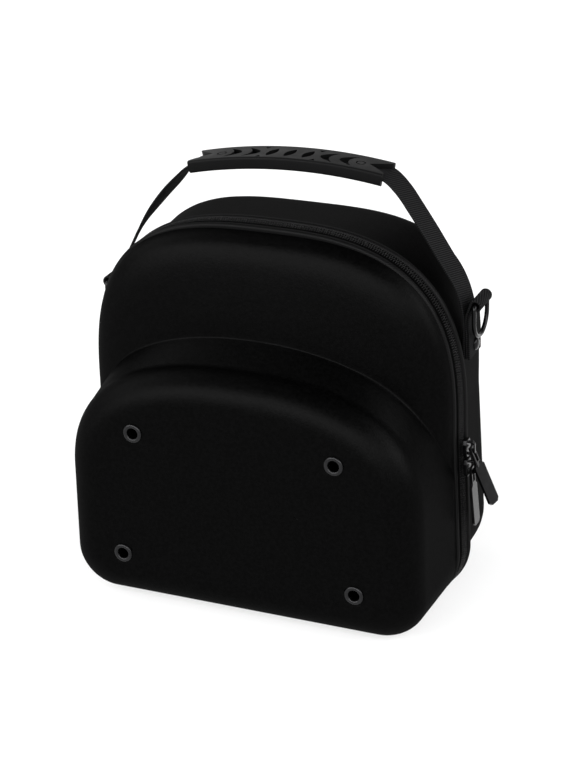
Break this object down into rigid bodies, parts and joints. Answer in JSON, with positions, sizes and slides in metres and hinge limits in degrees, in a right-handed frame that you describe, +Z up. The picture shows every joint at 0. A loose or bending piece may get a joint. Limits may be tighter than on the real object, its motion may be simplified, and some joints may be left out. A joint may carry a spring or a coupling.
{
  "type": "hard-shell cap carrier",
  "caption": "Zipped hard-shell carrier for peaked caps: arched moulded shells with a visor box, ventilation eyelets, webbing handle with moulded grip, and rings for a shoulder strap.",
  "frame": {"origin": "on the base, in the plane of symmetry, below the handle", "axes": "+X to the right side as seen from the front, where the zip pulls are, -Y to the front with the visor box, +Z up"},
  "size_m": [0.3103, 0.1721, 0.3132],
  "materials": {
    "shell_cloth": "fine black knit bonded to moulded foam, matte",
    "lip_cloth": "black cloth over a moulded flange, matte",
    "zip_tape": "black woven tape with a nylon coil",
    "webbing": "black twill nylon webbing",
    "grip_rubber": "moulded soft black rubber, satin",
    "eyelet_metal": "satin black",
    "black_metal": "gloss black"
  },
  "bodies": {
    "case": {"front_shell": "shell_cloth", "rear_shell": "shell_cloth", "front_lip": "lip_cloth", "rear_lip": "lip_cloth", "zip_front": "zip_tape", "zip_rear": "zip_tape", "hinge_strip": "zip_tape", "eyelet_upper_left": "eyelet_metal", "eyelet_upper_right": "eyelet_metal", "eyelet_lower_left": "eyelet_metal", "eyelet_lower_right": "eyelet_metal", "slider_upper": "black_metal", "slider_lower": "black_metal", "handle_strap": "webbing", "grip": "grip_rubber", "ring_loop_right": "webbing", "ring_loop_left": "webbing", "strap_rivet_right": "black_metal", "strap_rivet_left": "black_metal"},
    "ring_right": {"d_ring_right": "black_metal"},
    "ring_left": {"d_ring_left": "black_metal"},
    "pull_upper": {"zip_pull_upper": "black_metal"},
    "pull_lower": {"zip_pull_lower": "black_metal"}
  },
  "joints": [
    {"name": "ring_right_swing", "type": "hinge", "parent": "case", "child": "ring_right", "pos_m": [0.1395, 0, 0.2206], "axis": [0, -1, 0], "range_deg": [0, 170]},
    {"name": "ring_left_swing", "type": "hinge", "parent": "case", "child": "ring_left", "pos_m": [-0.1424, 0, 0.2026], "axis": [0, 1, 0], "range_deg": [0, 170]},
    {"name": "pull_upper_swing", "type": "hinge", "parent": "case", "child": "pull_upper", "pos_m": [0.1445, -0.033, 0.124], "axis": [0, -1, 0], "range_deg": [0, 130]},
    {"name": "pull_lower_swing", "type": "hinge", "parent": "case", "child": "pull_lower", "pos_m": [0.14504, -0.033, 0.109], "axis": [0, -1, 0], "range_deg": [0, 14]}
  ]
}
